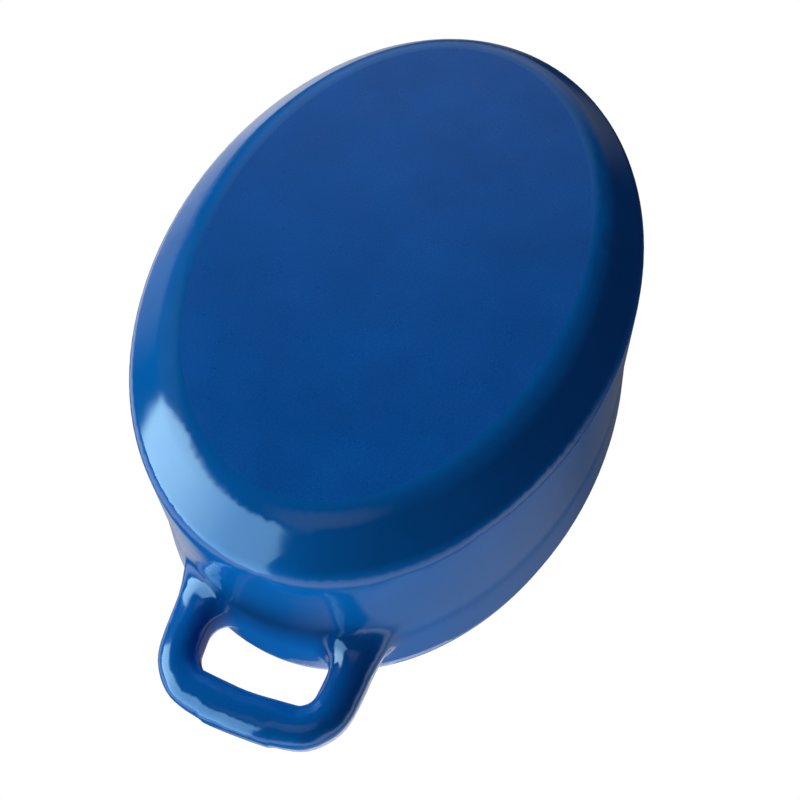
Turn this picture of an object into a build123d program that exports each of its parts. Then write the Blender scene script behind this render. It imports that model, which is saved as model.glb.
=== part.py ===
"""Oval cast iron dutch oven: enamelled pot with two loop handles, lid and lid knob.

Millimetres, +Z up. The pot stands on the origin, its long axis lies along X.
"""

import os
from math import cos, radians, sin, sqrt

from build123d import *

# Pot body
RIM_LENGTH = 300.0
RIM_WIDTH = 214.0
POT_HEIGHT = 101.0
BEVEL_HEIGHT = 13.0
BEVEL_RUN = 18.0
WALL_RUN = 4.0
SHOULDER_RUN = 1.1
SHOULDER_HEIGHT = 6.0
BAND_RUN = 2.9
BAND_HEIGHT = 23.0
LIP = 7.0
WALL = 4.8
FLOOR = 6.0
WALL_STEPS = 66

# Rounds on the pot
BASE_ROUND = 18.0
CORNER_ROUND = 8.0
FLOOR_ROUND = 22.0
RIM_ROUND = 1.5
MOUTH_ROUND = 1.5

# Loop handles
HANDLE_REACH = 36.0
HANDLE_SPAN = 82.0
HANDLE_THICK = 21.0
HANDLE_EDGE = 7.0
BAR_WIDTH = 15.9
BAR_BOW = 1.2
BAR_OUTER_TURN = 25.0
BAR_INNER_TURN = 6.7
ARM_WIDTH = 15.9
ARM_TAPER = 0.8
FLARE_LENGTH = 30.0
FLARE_OUT = 7.5
FLARE_DOWN = 6.5
BLEND_ROUND = 10.0
BLEND_MARGIN = 4.2

# Lid casting
LID_INSET = 1.0
LID_EDGE = 5.0
LID_EDGE_ROUND = 2.0
LID_SEAT_CHAMFER = 0.8
LID_RISE = 24.0
LID_WALL = 4.6
LID_FIT = 1.5
LID_CROWN = 0.22
RING_WIDTH = 4.5
RING_DEPTH = 6.0
RING_CHAMFER = 1.2
DOME_STEPS = 9

# Knob
KNOB_HEIGHT = 30.0
KNOB_HEAD = 45.0
KNOB_HEAD_THICK = 10.0
KNOB_CROWN = 6.0
KNOB_HEAD_ROUND = 1.8
KNOB_NECK = 20.0
KNOB_FOOT = 30.0
KNOB_FOOT_THICK = 2.4
KNOB_FOOT_ROUND = 0.8

# Knob fixing
GASKET_THICK = 1.5
GASKET_MARGIN = 1.0
SCREW_SIZE = 6.0
SCREW_GRIP = 14.0
SCREW_HEAD = 12.0
SCREW_HEAD_HEIGHT = 4.2
SCREW_HEAD_CHAMFER = 1.2
SCREW_FIT = 0.3
TAP_END = 2.0
DRIVE_LENGTH = 7.0
DRIVE_WIDTH = 1.5
DRIVE_DEPTH = 2.0
WASHER_SIZE = 18.0
WASHER_THICK = 1.5
SPRING_SIZE = 11.0
SPRING_THICK = 1.6
SPRING_GAP = 1.4

# Half sizes and heights that follow from the sizes above
HALF_LENGTH = RIM_LENGTH / 2
HALF_WIDTH = RIM_WIDTH / 2
BAND_FOOT = POT_HEIGHT - BAND_HEIGHT
SHOULDER_FOOT = BAND_FOOT - SHOULDER_HEIGHT
SHOULDER_INSET = BAND_RUN + SHOULDER_RUN
WALL_INSET = SHOULDER_INSET + WALL_RUN
BASE_INSET = WALL_INSET + BEVEL_RUN
HANDLE_TOP = POT_HEIGHT - BLEND_ROUND - BLEND_MARGIN
HANDLE_FOOT = HANDLE_TOP - HANDLE_THICK
LID_LENGTH = HALF_LENGTH - LID_INSET
LID_WIDTH = HALF_WIDTH - LID_INSET
RING_LENGTH = HALF_LENGTH - LIP - LID_FIT
RING_BREADTH = HALF_WIDTH - LIP - LID_FIT
HOLLOW_LENGTH = RING_LENGTH - RING_WIDTH
HOLLOW_WIDTH = RING_BREADTH - RING_WIDTH
EDGE_TOP = POT_HEIGHT + LID_EDGE
RING_FOOT = POT_HEIGHT - RING_DEPTH
CROWN_TOP = EDGE_TOP + LID_RISE
CROWN_UNDER = CROWN_TOP - LID_WALL
KNOB_SEAT = CROWN_TOP + GASKET_THICK
SCREW_HOLE = SCREW_SIZE / 2 + SCREW_FIT
SPRING_SEAT = CROWN_UNDER - WASHER_THICK
HEAD_SEAT = SPRING_SEAT - SPRING_THICK
HEAD_FOOT = HEAD_SEAT - SCREW_HEAD_HEIGHT


def wall_inset(height):
    """Say how far inside the rim line the outer wall stands at a height."""
    wall_slope = WALL_RUN / (SHOULDER_FOOT - BEVEL_HEIGHT)
    band_slope = BAND_RUN / BAND_HEIGHT
    if height <= SHOULDER_FOOT:
        return SHOULDER_INSET + wall_slope * (SHOULDER_FOOT - height)
    if height >= BAND_FOOT:
        return band_slope * (POT_HEIGHT - height)
    # The shoulder leaves the wall and meets the band at their own slopes
    up = (height - SHOULDER_FOOT) / SHOULDER_HEIGHT
    down = 1 - up
    ends = SHOULDER_INSET * down * down * (1 + 2 * up) + BAND_RUN * up * up * (1 + 2 * down)
    return ends + SHOULDER_HEIGHT * up * down * (band_slope * up - wall_slope * down)


def dome_curve(length, rise):
    """Draw the curve of a dome from its edge up to its flat crown."""
    return Spline(
        (length, 0),
        (length * 0.86, rise * 0.4),
        (length * 0.55, rise * 0.83),
        (length * LID_CROWN, rise),
        tangents=((-0.8, 1), (-1, 0)),
    )


def handle_stations():
    """List the handle's sections from one root to the middle of the bar.

    Each section has its inner point, its outer point and the height of its foot.
    """
    half = HANDLE_SPAN / 2
    inner = half - ARM_WIDTH
    tip = HALF_LENGTH + HANDLE_REACH - BAR_BOW
    start = HALF_LENGTH * sqrt(1 - (half / HALF_WIDTH) ** 2) + FLARE_LENGTH * 0.4
    sections = []
    for share in (1.0, 0.75, 0.52, 0.32, 0.15, 0.0):
        grow = share**1.6
        x = start - FLARE_LENGTH * share
        near = (x, inner + ARM_TAPER)
        far = (x, half + ARM_TAPER + FLARE_OUT * grow)
        sections.append((near, far, HANDLE_FOOT - FLARE_DOWN * grow))
    for turn in (90, 67.5, 45, 22.5, 0):
        back = 1 - cos(radians(turn))
        side = 1 - sin(radians(turn))
        near = (tip - BAR_WIDTH - BAR_INNER_TURN * back, inner - BAR_INNER_TURN * side)
        far = (tip - BAR_OUTER_TURN * back, half - BAR_OUTER_TURN * side)
        sections.append((near, far, HANDLE_FOOT))
    for share, bow in ((0.32, 0.7), (0.11, 0.97)):
        x = tip + BAR_BOW * bow
        sections.append(((x - BAR_WIDTH, share * inner), (x, share * half), HANDLE_FOOT))
    return sections


# Loop handle, one loft from root to root
first_half = handle_stations()
second_half = [((a[0], -a[1]), (b[0], -b[1]), foot) for a, b, foot in reversed(first_half)]
with BuildPart() as loop_handle:
    for near, far, foot in first_half + second_half:
        across = Vector(far[0] - near[0], far[1] - near[1], 0)
        middle = Vector((near[0] + far[0]) / 2, (near[1] + far[1]) / 2, (foot + HANDLE_TOP) / 2)
        station = Plane(origin=middle, x_dir=across, z_dir=across.cross(Vector(0, 0, 1)))
        with BuildSketch(station):
            RectangleRounded(across.length, HANDLE_TOP - foot, HANDLE_EDGE)
    loft()

# Cooking space inside the pot
with BuildPart() as cavity:
    for level, inset in ((FLOOR, WALL_INSET + WALL), (POT_HEIGHT, LIP)):
        with BuildSketch(Plane.XY.offset(level)):
            Ellipse(HALF_LENGTH - inset, HALF_WIDTH - inset)
    loft(ruled=True)
    fillet(cavity.edges().sort_by(Axis.Z)[0], FLOOR_ROUND)

# Pot casting
wall_gap = (POT_HEIGHT - BEVEL_HEIGHT) / WALL_STEPS
wall_levels = [BEVEL_HEIGHT + wall_gap * step for step in range(WALL_STEPS + 1)]
with BuildPart() as pot:
    # Drafted wall, shoulder and rim band
    for level in wall_levels:
        with BuildSketch(Plane.XY.offset(level)):
            Ellipse(HALF_LENGTH - wall_inset(level), HALF_WIDTH - wall_inset(level))
    loft()
    # Bevel down to the flat base
    for level, inset in ((0, BASE_INSET), (BEVEL_HEIGHT, WALL_INSET)):
        with BuildSketch(Plane.XY.offset(level)):
            Ellipse(HALF_LENGTH - inset, HALF_WIDTH - inset)
    loft(ruled=True)
    fillet(pot.edges().sort_by(Axis.Z)[0], BASE_ROUND)
    corner = pot.edges().filter_by(lambda e: e.is_closed)
    corner = corner.filter_by_position(Axis.Z, BEVEL_HEIGHT - 0.1, BEVEL_HEIGHT + 0.1)
    fillet(corner, CORNER_ROUND)
    # Handles, blended into the wall at their roots
    add(loop_handle.part)
    fillet(pot.edges(Select.NEW), BLEND_ROUND)
    mirror(loop_handle.part, about=Plane.YZ)
    fillet(pot.edges(Select.NEW), BLEND_ROUND)
    # Cooking space
    add(cavity.part, mode=Mode.SUBTRACT)
    # Rim
    rim = pot.edges().filter_by_position(Axis.Z, POT_HEIGHT - 0.1, POT_HEIGHT + 0.1)
    fillet(rim.sort_by(SortBy.LENGTH)[0], MOUTH_ROUND)
    rim = pot.edges().filter_by_position(Axis.Z, POT_HEIGHT - 0.1, POT_HEIGHT + 0.1)
    fillet(rim.sort_by(SortBy.LENGTH)[-1], RIM_ROUND)

# Hollow under the lid, up to the flat seat in its crown
hollow_curve = dome_curve(HOLLOW_LENGTH, LID_RISE - LID_WALL)
with BuildPart() as hollow:
    with BuildSketch(Plane.XY.offset(RING_FOOT)):
        Ellipse(HOLLOW_LENGTH, HOLLOW_WIDTH)
    extrude(amount=EDGE_TOP - RING_FOOT)
    for step in range(DOME_STEPS + 1):
        point = hollow_curve @ (step / DOME_STEPS)
        with BuildSketch(Plane.XY.offset(EDGE_TOP + point.Y)):
            Ellipse(point.X, point.X * HOLLOW_WIDTH / HOLLOW_LENGTH)
    loft()

# Lid casting
lid_curve = dome_curve(LID_LENGTH, LID_RISE)
with BuildPart() as lid:
    with BuildSketch(Plane.XY.offset(POT_HEIGHT)):
        Ellipse(LID_LENGTH, LID_WIDTH)
    extrude(amount=LID_EDGE)
    for step in range(DOME_STEPS + 1):
        point = lid_curve @ (step / DOME_STEPS)
        with BuildSketch(Plane.XY.offset(EDGE_TOP + point.Y)):
            Ellipse(point.X, point.X * LID_WIDTH / LID_LENGTH)
    loft()
    shoulder = lid.edges().filter_by_position(Axis.Z, EDGE_TOP - 0.1, EDGE_TOP + 0.1)
    fillet(shoulder, LID_EDGE_ROUND)
    chamfer(lid.edges().sort_by(Axis.Z)[0], LID_SEAT_CHAMFER)
    # Locating ring that drops into the pot's mouth
    with BuildSketch(Plane.XY.offset(RING_FOOT)):
        Ellipse(RING_LENGTH, RING_BREADTH)
    extrude(amount=RING_DEPTH)
    add(hollow.part, mode=Mode.SUBTRACT)
    chamfer(lid.edges().group_by(Axis.Z)[0], RING_CHAMFER)
    # Screw hole
    with BuildSketch(Plane.XY.offset(CROWN_UNDER)):
        Circle(SCREW_HOLE)
    extrude(amount=CROWN_TOP - CROWN_UNDER, mode=Mode.SUBTRACT)

# Knob, turned in one piece
head_low = KNOB_HEIGHT - KNOB_HEAD_THICK
head_top = KNOB_HEIGHT - KNOB_CROWN
crown_radius = ((KNOB_HEAD / 2) ** 2 + KNOB_CROWN**2) / (2 * KNOB_CROWN)
with BuildPart() as knob:
    with BuildSketch(Plane(origin=(0, 0, KNOB_SEAT), x_dir=(1, 0, 0), z_dir=(0, -1, 0))):
        with BuildLine():
            foot = Polyline((0, 0), (KNOB_FOOT / 2, 0), (KNOB_FOOT / 2, KNOB_FOOT_THICK))
            waist = (KNOB_NECK / 2, (KNOB_FOOT_THICK + head_low) / 2)
            neck = ThreePointArc(foot @ 1, waist, (KNOB_HEAD / 2, head_low))
            edge = Line(neck @ 1, (KNOB_HEAD / 2, head_top))
            crown = RadiusArc(edge @ 1, (0, KNOB_HEIGHT), -crown_radius)
            Line(crown @ 1, foot @ 0)
        make_face()
    revolve(axis=Axis.Z)
    head_edges = knob.edges().filter_by(GeomType.CIRCLE).filter_by_position(
        Axis.Z, KNOB_SEAT + head_low - 0.1, KNOB_SEAT + head_top + 0.1
    )
    fillet(head_edges, KNOB_HEAD_ROUND)
    foot_edges = knob.edges().filter_by(GeomType.CIRCLE).filter_by_position(
        Axis.Z, KNOB_SEAT + KNOB_FOOT_THICK - 0.1, KNOB_SEAT + KNOB_FOOT_THICK + 0.1
    )
    fillet(foot_edges, KNOB_FOOT_ROUND)
    # Tapped bore
    with BuildSketch(Plane.XY.offset(KNOB_SEAT)):
        Circle(SCREW_SIZE / 2)
    extrude(amount=SCREW_GRIP + TAP_END, mode=Mode.SUBTRACT)

# Gasket between knob and lid
with BuildPart() as knob_gasket:
    with BuildSketch(Plane.XY.offset(CROWN_TOP)):
        Circle(KNOB_FOOT / 2 - GASKET_MARGIN)
        Circle(SCREW_HOLE, mode=Mode.SUBTRACT)
    extrude(amount=GASKET_THICK)

# Flat washer under the lid
with BuildPart() as flat_washer:
    with BuildSketch(Plane.XY.offset(SPRING_SEAT)):
        Circle(WASHER_SIZE / 2)
        Circle(SCREW_HOLE, mode=Mode.SUBTRACT)
    extrude(amount=WASHER_THICK)

# Split spring washer, pressed flat
with BuildPart() as spring_washer:
    with BuildSketch(Plane.XY.offset(HEAD_SEAT)):
        Circle(SPRING_SIZE / 2)
        Circle(SCREW_HOLE, mode=Mode.SUBTRACT)
        with Locations((SPRING_SIZE / 2, 0)):
            Rectangle(SPRING_SIZE, SPRING_GAP, mode=Mode.SUBTRACT)
    extrude(amount=SPRING_THICK)

# Pan head screw with a cross drive
with BuildPart() as knob_screw:
    with BuildSketch(Plane.XY.offset(HEAD_FOOT)):
        Circle(SCREW_HEAD / 2)
    extrude(amount=SCREW_HEAD_HEIGHT)
    chamfer(knob_screw.edges().group_by(Axis.Z)[0], SCREW_HEAD_CHAMFER)
    with BuildSketch(Plane.XY.offset(HEAD_SEAT)):
        Circle(SCREW_SIZE / 2)
    extrude(amount=KNOB_SEAT - HEAD_SEAT + SCREW_GRIP)
    with BuildSketch(Plane.XY.offset(HEAD_FOOT)):
        Rectangle(DRIVE_LENGTH, DRIVE_WIDTH)
        Rectangle(DRIVE_WIDTH, DRIVE_LENGTH)
    extrude(amount=DRIVE_DEPTH, mode=Mode.SUBTRACT)

pot.part.label = "pot"
lid.part.label = "lid"
knob.part.label = "knob"
knob_gasket.part.label = "knob_gasket"
flat_washer.part.label = "flat_washer"
spring_washer.part.label = "spring_washer"
knob_screw.part.label = "knob_screw"

os.makedirs("parts", exist_ok=True)
export_step(pot.part, "parts/pot.step")
export_step(lid.part, "parts/lid.step")
export_step(knob.part, "parts/knob.step")
export_step(knob_gasket.part, "parts/knob_gasket.step")
export_step(flat_washer.part, "parts/flat_washer.step")
export_step(spring_washer.part, "parts/spring_washer.step")
export_step(knob_screw.part, "parts/knob_screw.step")
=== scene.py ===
"""Studio scene of an oval enamelled dutch oven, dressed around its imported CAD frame.

Metres, +Z up. The pot stands on the origin and its long axis lies along X.
"""

import logging
import math
from dataclasses import dataclass
from enum import Enum

import bmesh
import bpy
import numpy as np
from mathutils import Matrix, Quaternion, Vector


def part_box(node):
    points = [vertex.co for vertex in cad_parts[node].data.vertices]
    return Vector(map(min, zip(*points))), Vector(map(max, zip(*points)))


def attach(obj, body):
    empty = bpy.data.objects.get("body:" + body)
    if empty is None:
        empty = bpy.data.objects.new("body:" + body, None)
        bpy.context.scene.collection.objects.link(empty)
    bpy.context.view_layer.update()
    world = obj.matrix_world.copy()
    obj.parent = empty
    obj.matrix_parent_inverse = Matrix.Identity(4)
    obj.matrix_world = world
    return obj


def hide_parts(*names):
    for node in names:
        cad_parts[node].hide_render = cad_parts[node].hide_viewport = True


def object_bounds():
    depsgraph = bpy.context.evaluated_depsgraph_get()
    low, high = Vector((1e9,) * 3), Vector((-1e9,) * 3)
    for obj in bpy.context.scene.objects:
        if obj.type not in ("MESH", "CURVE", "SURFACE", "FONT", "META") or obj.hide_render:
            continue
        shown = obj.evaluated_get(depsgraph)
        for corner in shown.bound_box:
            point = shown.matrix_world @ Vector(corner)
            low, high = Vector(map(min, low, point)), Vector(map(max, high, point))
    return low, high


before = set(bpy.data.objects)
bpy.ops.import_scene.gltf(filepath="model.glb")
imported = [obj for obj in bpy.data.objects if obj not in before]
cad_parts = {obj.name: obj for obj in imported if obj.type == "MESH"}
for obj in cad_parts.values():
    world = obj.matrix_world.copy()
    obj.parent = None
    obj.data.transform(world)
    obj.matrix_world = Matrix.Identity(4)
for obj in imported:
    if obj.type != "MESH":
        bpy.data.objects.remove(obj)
CAD_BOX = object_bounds()
CAD_POT_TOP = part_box("pot")[1][2]

Colour = tuple[float, float, float]
Point = tuple[float, float, float]
Socket = bpy.types.NodeSocket

log = logging.getLogger("dutch_oven")


class Sheet:
    """A material's node sheet, with short ways to add nodes and join them."""

    def __init__(self, name: str) -> None:
        """Start a material of that name with one shader and object coordinates."""
        self.material = bpy.data.materials.new(name)
        self.material.use_nodes = True
        self.tree = self.material.node_tree
        self.shader = self.tree.nodes["Principled BSDF"]
        self.place = self.add("ShaderNodeTexCoord").outputs["Object"]

    def add(self, kind: str) -> bpy.types.Node:
        """Add a node of that kind."""
        return self.tree.nodes.new(kind)

    def join(self, source: Socket, target: Socket) -> None:
        """Link one socket to another."""
        self.tree.links.new(source, target)

    def noise(self, size: float, detail: float = 2.0, place: Socket | None = None) -> Socket:
        """Add a noise texture.

        Args:
            size: The width of one patch of the noise, in metres.
            detail: How many finer layers it has.
            place: The coordinates it lies on, or None for the object's own.

        Returns:
            The noise's value, about 0 to 1.
        """
        node = self.add("ShaderNodeTexNoise")
        node.inputs["Scale"].default_value = 1.0 / size
        node.inputs["Detail"].default_value = detail
        self.join(place or self.place, node.inputs["Vector"])
        return node.outputs["Fac"]

    def span(
        self, value: Socket, low: float, high: float, start: float = 0.3, end: float = 0.7
    ) -> Socket:
        """Stretch a value from one range to another.

        Args:
            value: The value to stretch.
            low: What the range's start becomes.
            high: What the range's end becomes.
            start: Where the range starts.
            end: Where the range ends.

        Returns:
            The stretched value, held inside its new range.
        """
        node = self.add("ShaderNodeMapRange")
        node.inputs["From Min"].default_value = start
        node.inputs["From Max"].default_value = end
        node.inputs["To Min"].default_value = low
        node.inputs["To Max"].default_value = high
        self.join(value, node.inputs["Value"])
        return node.outputs["Result"]

    def tint(self, share: Socket, first: Colour, second: Colour) -> Socket:
        """Blend two colours by a share.

        Args:
            share: 0 for the first colour, 1 for the second.
            first: The colour at 0.
            second: The colour at 1.

        Returns:
            The blended colour.
        """
        node = self.add("ShaderNodeMix")
        node.data_type = "RGBA"
        node.inputs["A"].default_value = (*first, 1.0)
        node.inputs["B"].default_value = (*second, 1.0)
        self.join(share, node.inputs["Factor"])
        return node.outputs["Result"]

    def scale(self, colour: Socket, share: Socket) -> Socket:
        """Make a colour lighter or darker by a changing share.

        Args:
            colour: The colour to change.
            share: What it is multiplied by.

        Returns:
            The changed colour.
        """
        node = self.add("ShaderNodeVectorMath")
        node.operation = "SCALE"
        self.join(colour, node.inputs["Vector"])
        self.join(share, node.inputs["Scale"])
        return node.outputs["Vector"]

    def bump(self, height: Socket, depth: float, under: Socket | None = None) -> Socket:
        """Raise the surface by a height map.

        Args:
            height: The map, 0 to 1.
            depth: How high a value of 1 stands, in metres.
            under: A coarser bump that this one lies on.

        Returns:
            The bumped normal.
        """
        node = self.add("ShaderNodeBump")
        node.inputs["Strength"].default_value = 1.0
        node.inputs["Distance"].default_value = depth
        self.join(height, node.inputs["Height"])
        if under is not None:
            self.join(under, node.inputs["Normal"])
        return node.outputs["Normal"]

    def set(self, socket: str, value: float) -> None:
        """Set one of the shader's own sockets."""
        self.shader.inputs[socket].default_value = value

    def feed(self, socket: str, source: Socket) -> None:
        """Link a source to one of the shader's sockets."""
        self.join(source, self.shader.inputs[socket])


def shaded(colour: Colour, share: float) -> Colour:
    """Make a colour lighter or darker by a share."""
    return tuple(min(part * share, 1.0) for part in colour)


@dataclass(frozen=True)
class Enamel:
    """Glass enamel fired on cast iron."""

    name: str
    colour: Colour
    drift: float
    grain: float
    sheen_low: float
    sheen_high: float
    peel: float
    wave: float
    drift_size: float = 0.035
    grain_size: float = 0.0008
    sheen_size: float = 0.012
    peel_size: float = 0.0018
    wave_size: float = 0.02

    def material(self) -> bpy.types.Material:
        """Make the enamel's material.

        Returns:
            A material with slow colour drift, fine grain, orange peel and long waves in its gloss.
        """
        sheet = Sheet(self.name)
        # The drift is random tone. On the satin base its cloudy lighter and darker patches are also
        # painted sheen, standing in for patchy reflection.
        drift = sheet.span(sheet.noise(self.drift_size, 3.0), 0.0, 1.0)
        dark = shaded(self.colour, 1 - self.drift)
        light = shaded(self.colour, 1 + self.drift)
        grain = sheet.span(sheet.noise(self.grain_size, 1.0), 1 - self.grain, 1 + self.grain)
        sheet.feed("Base Color", sheet.scale(sheet.tint(drift, dark, light), grain))
        sheen = sheet.noise(self.sheen_size, 4.0)
        sheet.feed("Roughness", sheet.span(sheen, self.sheen_low, self.sheen_high))
        wave = sheet.bump(sheet.noise(self.wave_size, 1.0), self.wave)
        sheet.feed("Normal", sheet.bump(sheet.noise(self.peel_size, 2.0), self.peel, wave))
        return sheet.material


@dataclass(frozen=True)
class Steel:
    """Stainless steel with fine tool marks."""

    name: str
    colour: Colour
    sheen_low: float
    sheen_high: float
    groove: float
    groove_size: float = 0.0004
    smear_size: float = 0.006
    smear_shade: float = 0.94

    def material(self) -> bpy.types.Material:
        """Make the steel's material.

        Returns:
            A metal whose tool marks run in rings round the upright axis.
        """
        sheet = Sheet(self.name)
        parts = sheet.add("ShaderNodeSeparateXYZ")
        sheet.join(sheet.place, parts.inputs["Vector"])
        flat = sheet.add("ShaderNodeCombineXYZ")
        sheet.join(parts.outputs["X"], flat.inputs["X"])
        sheet.join(parts.outputs["Y"], flat.inputs["Y"])
        radius = sheet.add("ShaderNodeVectorMath")
        radius.operation = "LENGTH"
        sheet.join(flat.outputs["Vector"], radius.inputs[0])
        rings = sheet.add("ShaderNodeCombineXYZ")
        sheet.join(radius.outputs["Value"], rings.inputs["X"])
        sheet.join(parts.outputs["Z"], rings.inputs["Y"])
        marks = sheet.noise(self.groove_size, 3.0, rings.outputs["Vector"])
        smear = sheet.noise(self.smear_size, 3.0)
        sheet.feed("Base Color", sheet.tint(smear, shaded(self.colour, self.smear_shade), self.colour))
        sheet.feed("Roughness", sheet.span(marks, self.sheen_low, self.sheen_high))
        sheet.feed("Normal", sheet.bump(marks, self.groove))
        sheet.set("Metallic", 1.0)
        return sheet.material


@dataclass(frozen=True)
class Rubber:
    """Matt silicone rubber."""

    name: str
    colour: Colour
    grain_size: float = 0.0006
    grain_shade: float = 1.6
    grain_depth: float = 0.00003
    sheen_low: float = 0.6
    sheen_high: float = 0.75

    def material(self) -> bpy.types.Material:
        """Make the rubber's material.

        Returns:
            A matt material with a fine moulded grain.
        """
        sheet = Sheet(self.name)
        grain = sheet.noise(self.grain_size, 3.0)
        sheet.feed("Base Color", sheet.tint(grain, self.colour, shaded(self.colour, self.grain_shade)))
        sheet.feed("Roughness", sheet.span(grain, self.sheen_low, self.sheen_high))
        sheet.feed("Normal", sheet.bump(grain, self.grain_depth))
        return sheet.material


GLOSS_BLUE = Enamel(
    name="gloss_blue_enamel",
    colour=(0.001, 0.105, 0.37),
    drift=0.06,
    grain=0.02,
    sheen_low=0.09,
    sheen_high=0.14,
    peel=0.000004,
    wave=0.00003,
)
SATIN_BLUE = Enamel(
    name="satin_blue_enamel",
    colour=(0.001, 0.088, 0.36),
    # This colour drift is partly random tone and partly painted sheen: its cloudy patches stand in for
    # patchy reflection on the satin base.
    drift=0.10,
    grain=0.16,
    sheen_low=0.26,
    sheen_high=0.36,
    peel=0.000012,
    wave=0.00003,
)
CREAM = Enamel(
    name="cream_enamel",
    colour=(0.74, 0.68, 0.56),
    drift=0.03,
    grain=0.02,
    sheen_low=0.08,
    sheen_high=0.14,
    peel=0.000004,
    wave=0.00003,
)
DARK_RIM = Enamel(
    name="dark_rim_enamel",
    colour=(0.018, 0.019, 0.022),
    drift=0.2,
    grain=0.1,
    sheen_low=0.42,
    sheen_high=0.55,
    peel=0.00001,
    wave=0.00002,
)
KNOB_STEEL = Steel(
    name="turned_knob_steel",
    colour=(0.72, 0.72, 0.74),
    sheen_low=0.14,
    sheen_high=0.24,
    groove=0.000002,
)
FIXING_STEEL = Steel(
    name="plain_fixing_steel",
    colour=(0.6, 0.6, 0.62),
    sheen_low=0.28,
    sheen_high=0.4,
    groove=0.000004,
)
GASKET_RUBBER = Rubber(name="gasket_rubber", colour=(0.012, 0.012, 0.013))


class Skin(Enum):
    """The finishes that a casting wears, in the order of its material slots."""

    OUTSIDE = 0
    BASE = 1
    INSIDE = 2
    RIM = 3


@dataclass
class Casting:
    """An enamelled oval casting, made from its CAD node with its finishes parted."""

    node: str
    body: str
    slot: str
    weld: float = 0.00001
    crease: float = math.radians(38)
    long_edge: float = 0.006
    even_rounds: int = 7

    def build(self) -> bpy.types.Object:
        """Make the casting's visible mesh in place of its CAD node.

        Returns:
            The new object, welded, smooth and riding on its body.
        """
        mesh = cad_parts[self.node].data.copy()
        mesh.name = f"{self.node}_casting"
        mesh.materials.clear()
        piece = bpy.data.objects.new(f"{self.node}_casting", mesh)
        bpy.context.scene.collection.objects.link(piece)
        if "custom_normal" in mesh.attributes:
            mesh.attributes.remove(mesh.attributes["custom_normal"])
        work = bmesh.new()
        work.from_mesh(mesh)
        bmesh.ops.remove_doubles(work, verts=work.verts, dist=self.weld)
        for face in work.faces:
            face.smooth = True
            face.material_index = self.skin(face.calc_center_median(), face.normal).value
        creases = [edge for edge in work.edges if edge.calc_face_angle(0.0) > self.crease]
        bmesh.ops.split_edges(work, edges=creases)
        work.to_mesh(mesh)
        work.free()
        mesh.normals_split_custom_set_from_vertices(self.even_normals(mesh))
        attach(piece, self.body)
        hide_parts(self.node)
        return piece

    def even_normals(self, mesh: bpy.types.Mesh) -> np.ndarray:
        """Work out normals that let a highlight run evenly over the small facets.

        Args:
            mesh: The casting's mesh, split at its creases.

        Returns:
            One normal for each vertex. Large facets keep theirs, small ones share with their neighbours.
        """
        points = np.empty(len(mesh.vertices) * 3)
        mesh.vertices.foreach_get("co", points)
        points = points.reshape(-1, 3)
        mesh.calc_loop_triangles()
        corners = np.empty(len(mesh.loop_triangles) * 3, dtype=np.int64)
        mesh.loop_triangles.foreach_get("vertices", corners)
        corners = corners.reshape(-1, 3)
        first, second, third = (points[corners[:, place]] for place in range(3))
        facing = np.cross(second - first, third - first)
        normals = np.zeros_like(points)
        for place in range(3):
            np.add.at(normals, corners[:, place], facing)
        normals /= np.linalg.norm(normals, axis=1, keepdims=True).clip(1e-12)
        ends = np.empty(len(mesh.edges) * 2, dtype=np.int64)
        mesh.edges.foreach_get("vertices", ends)
        ends = ends.reshape(-1, 2)
        length = np.linalg.norm(points[ends[:, 0]] - points[ends[:, 1]], axis=1)
        held = np.zeros(len(points), dtype=bool)
        held[ends[length > self.long_edge]] = True
        for _ in range(self.even_rounds):
            total = normals.copy()
            np.add.at(total, ends[:, 0], normals[ends[:, 1]])
            np.add.at(total, ends[:, 1], normals[ends[:, 0]])
            total /= np.linalg.norm(total, axis=1, keepdims=True).clip(1e-12)
            normals[~held] = total[~held]
        return normals

    def dress(self, piece: bpy.types.Object) -> None:
        """Give the casting its enamels, one slot for each skin."""
        for enamel in (GLOSS_BLUE, SATIN_BLUE, CREAM, DARK_RIM):
            piece.data.materials.append(finish(enamel))

    def skin(self, centre: Vector, normal: Vector) -> Skin:
        """Say which finish a face wears."""
        raise NotImplementedError


@dataclass
class PotCasting(Casting):
    """The oval pot with its two loop handles."""

    node: str = "pot"
    body: str = "pot"
    slot: str = "pot_enamel"
    mouth_half_length: float = 0.1446
    mouth_half_width: float = 0.1017
    rim_depth: float = 0.0012
    base_height: float = 0.0005
    base_facing: float = -0.999
    floor_facing: float = 0.2

    def skin(self, centre: Vector, normal: Vector) -> Skin:
        """Part the pot's faces into outside, base, inside and rim.

        Args:
            centre: The middle of a face.
            normal: The way the face looks.

        Returns:
            The finish of that face.
        """
        if centre.z > CAD_POT_TOP - self.rim_depth:
            return Skin.RIM
        if normal.z < self.base_facing and centre.z < self.base_height:
            return Skin.BASE
        along, across = centre.x / self.mouth_half_length, centre.y / self.mouth_half_width
        in_mouth = along ** 2 + across ** 2 < 1
        looks_in = centre.x * normal.x + centre.y * normal.y < 0 or normal.z > self.floor_facing
        return Skin.INSIDE if in_mouth and looks_in else Skin.OUTSIDE


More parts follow.
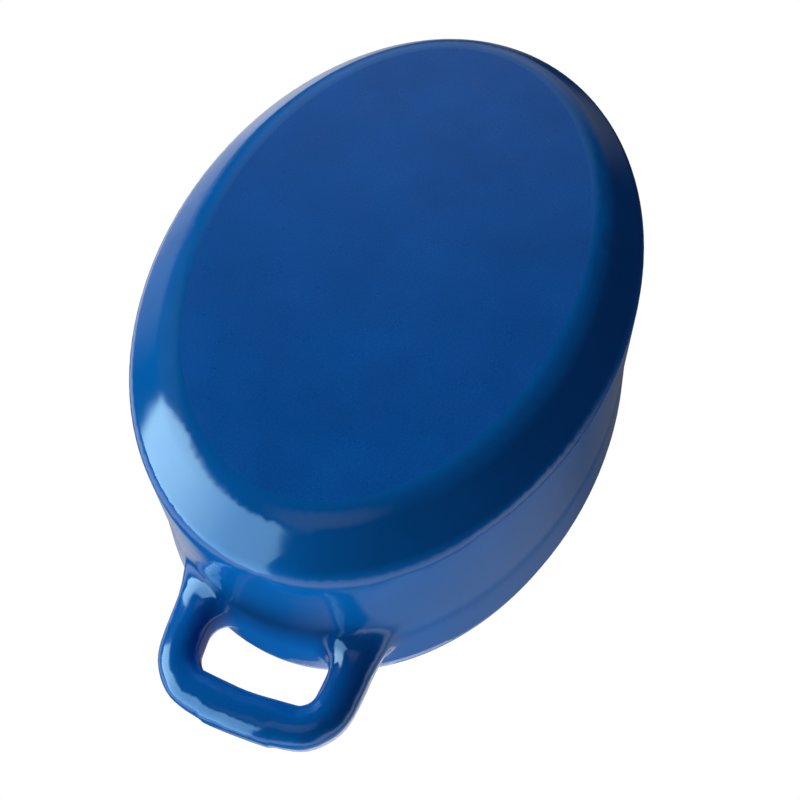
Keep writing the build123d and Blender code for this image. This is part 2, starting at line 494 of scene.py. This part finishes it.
@dataclass
class LidCasting(Casting):
    """The domed oval lid with its locating ring."""

    node: str = "lid"
    body: str = "lid"
    slot: str = "lid_enamel"
    ring_half_length: float = 0.1416
    ring_half_width: float = 0.0987
    seat_depth: float = 0.0009
    roof_facing: float = 0.05

    def skin(self, centre: Vector, normal: Vector) -> Skin:
        """Part the lid's faces into outside, inside and seat.

        Args:
            centre: The middle of a face.
            normal: The way the face looks.

        Returns:
            The finish of that face.
        """
        along, across = centre.x / self.ring_half_length, centre.y / self.ring_half_width
        in_ring = along ** 2 + across ** 2 < 1
        if not in_ring and centre.z < CAD_POT_TOP + self.seat_depth:
            return Skin.RIM
        under_roof = in_ring and normal.z < self.roof_facing
        return Skin.INSIDE if under_roof or centre.z < CAD_POT_TOP else Skin.OUTSIDE


@dataclass
class LidKnob:
    """The steel knob with its gasket, washers and screw, kept as their CAD nodes."""

    steel_nodes: tuple[str, ...] = ("knob",)
    fixing_nodes: tuple[str, ...] = ("flat_washer", "spring_washer", "knob_screw")
    rubber_nodes: tuple[str, ...] = ("knob_gasket",)

    def dress(self) -> None:
        """Give each node of the knob its finish."""
        self.wear(self.steel_nodes, KNOB_STEEL)
        self.wear(self.fixing_nodes, FIXING_STEEL)
        self.wear(self.rubber_nodes, GASKET_RUBBER)

    def wear(self, nodes: tuple[str, ...], worn: Steel | Rubber) -> None:
        """Put one finish on several nodes.

        Args:
            nodes: The nodes' names.
            worn: The finish that they get.
        """
        for node in nodes:
            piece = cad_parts[node]
            for place in piece.material_slots:
                place.link = "OBJECT"
                place.material = finish(worn)
            log.info("%s wears %s", node, worn.name)


@dataclass
class Floor:
    """A pale round floor that fades into the white background."""

    radius: float = 4.0
    drop: float = 0.0006
    colour: Colour = (0.86, 0.86, 0.86)
    roughness: float = 0.9
    segments: int = 96
    fade_start: float = 0.5
    fade_end: float = 1.3

    def build(self) -> bpy.types.Object:
        """Make the floor's disc just under the pot's base.

        Returns:
            The floor, which only camera rays see.
        """
        mesh = bpy.data.meshes.new("floor")
        work = bmesh.new()
        bmesh.ops.create_circle(work, cap_ends=True, segments=self.segments, radius=self.radius)
        work.to_mesh(mesh)
        work.free()
        floor = bpy.data.objects.new("floor", mesh)
        floor.location.z = -self.drop
        bpy.context.scene.collection.objects.link(floor)
        floor.visible_diffuse = False
        floor.visible_glossy = False
        floor.visible_transmission = False
        floor.visible_shadow = False
        mesh.materials.append(self.paint())
        return floor

    def paint(self) -> bpy.types.Material:
        """Make the floor's paint.

        Returns:
            A matt paint, white far from the pot and clear when seen from below.
        """
        sheet = Sheet("floor_paint")
        sheet.shader.inputs["Base Color"].default_value = (*self.colour, 1.0)
        sheet.set("Roughness", self.roughness)
        sheet.set("Specular IOR Level", 0.0)
        radius = sheet.add("ShaderNodeVectorMath")
        radius.operation = "LENGTH"
        sheet.join(sheet.place, radius.inputs[0])
        far = sheet.span(radius.outputs["Value"], 0.0, 1.0, self.fade_start, self.fade_end)
        white = sheet.add("ShaderNodeEmission")
        fade = sheet.add("ShaderNodeMixShader")
        sheet.join(far, fade.inputs["Fac"])
        sheet.join(sheet.shader.outputs["BSDF"], fade.inputs[1])
        sheet.join(white.outputs["Emission"], fade.inputs[2])
        clear = sheet.add("ShaderNodeBsdfTransparent")
        side = sheet.add("ShaderNodeMixShader")
        sheet.join(sheet.add("ShaderNodeNewGeometry").outputs["Backfacing"], side.inputs["Fac"])
        sheet.join(fade.outputs["Shader"], side.inputs[1])
        sheet.join(clear.outputs["BSDF"], side.inputs[2])
        sheet.join(side.outputs["Shader"], sheet.tree.nodes["Material Output"].inputs["Surface"])
        return sheet.material


@dataclass(frozen=True)
class Glow:
    """A soft bright place in the surroundings, which only reflections show."""

    toward: Point
    start: float
    level: float


@dataclass(frozen=True)
class Edge:
    """A soft edge in the surroundings. Directions past it along the inward line lie inside."""

    inward: Point
    start: float
    end: float


class Sum(Enum):
    """How values are taken together, as the node names it."""

    ADD = "ADD"
    MULTIPLY = "MULTIPLY"


@dataclass(frozen=True)
class Pane:
    """A large soft-edged pane in the surroundings, which only reflections show."""

    edges: tuple[Edge, ...] = (
        Edge((1.0, -0.055, -0.124), 0.0, 0.05),
        Edge((-0.156, 0.988, 0.0), 0.0, 0.06),
        Edge((0.454, -0.14, -1.0), 0.0, 0.06),
        Edge((0.0, 0.0, 1.0), -0.80, -0.66),
    )
    right: Colour = (2.2, 4.4, 5.8)
    left: Colour = (5.2, 8.6, 9.8)
    across: Edge = Edge((-0.57, 0.82, 0.0), -0.07, 0.57)


@dataclass(frozen=True)
class SoftLamp:
    """A square-cornered soft lamp that looks at the pot and lights it, but doesn't show in its gloss."""

    name: str
    place: Point
    width: float
    height: float
    power: float

    def hang(self) -> None:
        """Hang the lamp, turned to the middle of the oven."""
        light = bpy.data.lights.new(self.name, "AREA")
        light.shape = "RECTANGLE"
        light.size = self.width
        light.size_y = self.height
        light.energy = self.power
        lamp = bpy.data.objects.new(self.name, light)
        lamp.location = self.place
        middle = (Vector(CAD_BOX[0]) + Vector(CAD_BOX[1])) / 2
        lamp.rotation_mode = "QUATERNION"
        lamp.rotation_quaternion = (middle - Vector(self.place)).to_track_quat("-Z", "Y")
        lamp.visible_camera = False
        lamp.visible_glossy = False
        bpy.context.scene.collection.objects.link(lamp)


@dataclass
class Studio:
    """The white surroundings, what the gloss mirrors of them, and the soft lamps."""

    fill: Colour = (0.08, 0.085, 0.13)
    dark: float = 0.01
    glows: tuple[Glow, ...] = (
        Glow((0.20, -0.40, 0.895), 0.80, 0.27),
        Glow((-0.50, -0.20, 0.84), 0.88, 0.08),
        Glow((-0.08, 0.47, 0.88), 0.97, 0.50),
        Glow((-0.42, 0.90, 0.08), 0.93, 0.40),
        Glow((-0.98, -0.08, -0.05), 0.92, 0.24),
        Glow((-0.85, 0.30, -0.43), 0.84, 0.45),
        Glow((0.35, 0.0, -0.93), 0.93, 0.45),
        Glow((0.0, 0.0, 1.0), 0.95, 1.00),
    )
    backdrop: tuple[Edge, ...] = (
        Edge((0.0, 0.0, 1.0), 0.10, 0.36),
        Edge((0.0, 0.0, -1.0), -0.68, -0.48),
        Edge((0.9, 0.44, 0.0), -0.80, -0.30),
    )
    pane: Pane = Pane()
    lamps: tuple[SoftLamp, ...] = (
        SoftLamp("side_lamp", (-0.22, 1.18, -0.72), 0.9, 0.9, 20.5),
        SoftLamp("corner_lamp", (1.16, 0.65, -0.43), 0.8, 0.8, 4.6),
        SoftLamp("wall_lamp", (1.22, 0.04, 0.68), 1.9, 1.0, 31.0),
        SoftLamp("front_lamp", (-0.45, -1.08, 0.93), 0.8, 0.8, 6.4),
        SoftLamp("back_lamp", (-1.1, 0.5, 0.8), 0.9, 0.9, 12.4),
    )

    def build(self) -> None:
        """Make the surroundings and hang the lamps."""
        self.surround()
        for lamp in self.lamps:
            lamp.hang()

    def surround(self) -> None:
        """Make the world: white to look at, with its own look in the gloss, and plain in its light."""
        world = bpy.data.worlds.new("studio")
        bpy.context.scene.world = world
        world.use_nodes = True
        tree = world.node_tree
        path = tree.nodes.new("ShaderNodeLightPath")
        white = tree.nodes.new("ShaderNodeMath")
        white.operation = "MAXIMUM"
        tree.links.new(path.outputs["Is Camera Ray"], white.inputs[0])
        tree.links.new(path.outputs["Is Transmission Ray"], white.inputs[1])
        mirrored = self.blend(tree, path.outputs["Is Glossy Ray"])
        mirrored.inputs["A"].default_value = (*self.fill, 1.0)
        tree.links.new(self.reflected(tree), mirrored.inputs["B"])
        seen = self.blend(tree, white.outputs["Value"])
        tree.links.new(mirrored.outputs["Result"], seen.inputs["A"])
        seen.inputs["B"].default_value = (1.0, 1.0, 1.0, 1.0)
        tree.links.new(seen.outputs["Result"], tree.nodes["Background"].inputs["Color"])

    def blend(self, tree: bpy.types.NodeTree, share: Socket) -> bpy.types.Node:
        """Add a colour blend.

        Args:
            tree: The world's node tree.
            share: What picks the second colour.

        Returns:
            The blend, with its two colours still to be set.
        """
        node = tree.nodes.new("ShaderNodeMix")
        node.data_type = "RGBA"
        tree.links.new(share, node.inputs["Factor"])
        return node

    def reflected(self, tree: bpy.types.NodeTree) -> Socket:
        """Make what the gloss mirrors: the white backdrop, soft glows, and the pane below.

        Args:
            tree: The world's node tree.

        Returns:
            The colour that a reflection sees in its direction.
        """
        level = None
        for glow in self.glows:
            rise = self.rise(tree, Edge(glow.toward, glow.start, 1.0), glow.level)
            level = self.combine(tree, Sum.ADD, level, rise, self.dark)
        level = self.combine(tree, Sum.ADD, level, self.within(tree, self.backdrop), self.dark)
        inside = self.within(tree, self.pane.edges)
        glass = self.blend(tree, self.rise(tree, self.pane.across, 1.0))
        glass.inputs["A"].default_value = (*self.pane.right, 1.0)
        glass.inputs["B"].default_value = (*self.pane.left, 1.0)
        view = self.blend(tree, inside)
        tree.links.new(level, view.inputs["A"])
        tree.links.new(glass.outputs["Result"], view.inputs["B"])
        return view.outputs["Result"]

    def within(self, tree: bpy.types.NodeTree, edges: tuple[Edge, ...]) -> Socket:
        """Say how far a direction lies within several edges.

        Args:
            tree: The world's node tree.
            edges: The edges round a part of the surroundings.

        Returns:
            The share, 1 inside all edges and 0 outside any.
        """
        share = None
        for edge in edges:
            share = self.combine(tree, Sum.MULTIPLY, share, self.rise(tree, edge, 1.0), 1.0)
        return share

    def rise(self, tree: bpy.types.NodeTree, edge: Edge, level: float) -> Socket:
        """Let a value rise softly across an edge.

        Args:
            tree: The world's node tree.
            edge: Where the value rises, and which way.
            level: What it rises to.

        Returns:
            The value, 0 outside the edge and the level inside it.
        """
        place = tree.nodes.new("ShaderNodeTexCoord")
        near = tree.nodes.new("ShaderNodeVectorMath")
        near.operation = "DOT_PRODUCT"
        near.inputs[1].default_value = Vector(edge.inward).normalized()
        tree.links.new(place.outputs["Generated"], near.inputs[0])
        node = tree.nodes.new("ShaderNodeMapRange")
        node.interpolation_type = "SMOOTHSTEP"
        node.inputs["From Min"].default_value = edge.start
        node.inputs["From Max"].default_value = edge.end
        node.inputs["To Max"].default_value = level
        tree.links.new(near.outputs["Value"], node.inputs["Value"])
        return node.outputs["Result"]

    def combine(
        self, tree: bpy.types.NodeTree, way: Sum, total: Socket | None, value: Socket, first: float
    ) -> Socket:
        """Take one more value into a running total.

        Args:
            tree: The world's node tree.
            way: How the value is taken in.
            total: The total so far, or None at the start.
            value: The value to take in.
            first: What the total starts from.

        Returns:
            The new total.
        """
        node = tree.nodes.new("ShaderNodeMath")
        node.operation = way.value
        node.inputs[0].default_value = first
        if total is not None:
            tree.links.new(total, node.inputs[0])
        tree.links.new(value, node.inputs[1])
        return node.outputs["Value"]


@dataclass
class PhotoCamera:
    """The camera, below the base and looking up at it, turned over on its axis."""

    place: Point = (0.217252, -0.086636, -0.271626)
    forward: Point = (-0.468095, 0.189512, 0.863118)
    up: Point = (-0.816767, 0.280045, -0.504446)
    lens: float = 39.67858
    sensor: float = 36.0
    clip_start: float = 0.01

    def build(self) -> None:
        """Set the camera up and make it the scene's own."""
        data = bpy.data.cameras.new("photo_camera")
        data.lens = self.lens
        data.sensor_width = self.sensor
        data.clip_start = self.clip_start
        camera = bpy.data.objects.new("photo_camera", data)
        camera.location = self.place
        track = Vector(self.forward).to_track_quat("-Z", "Y")
        plain_up = track @ Vector((0, 1, 0))
        up = Vector(self.up)
        roll = math.atan2(plain_up.cross(up).dot(-Vector(self.forward)), plain_up.dot(up))
        camera.rotation_mode = "QUATERNION"
        camera.rotation_quaternion = track @ Quaternion((0, 0, 1), roll)
        bpy.context.scene.collection.objects.link(camera)
        bpy.context.scene.camera = camera


FINISHES: dict[str, bpy.types.Material] = {}


def finish(worn: Enamel | Steel | Rubber) -> bpy.types.Material:
    """Give a finish's material, made once.

    Args:
        worn: The finish.

    Returns:
        Its material.
    """
    if worn.name not in FINISHES:
        FINISHES[worn.name] = worn.material()
    return FINISHES[worn.name]


def main() -> None:
    """Build the oven, its stage and its camera."""
    logging.basicConfig(level=logging.INFO, format="%(message)s")
    for casting in (PotCasting(), LidCasting()):
        piece = casting.build()
        casting.dress(piece)
        log.info("%s built", piece.name)
    LidKnob().dress()
    Floor().build()
    Studio().build()
    PhotoCamera().build()
    bpy.context.scene.view_settings.view_transform = "Standard"


if __name__ == "__main__":
    main()
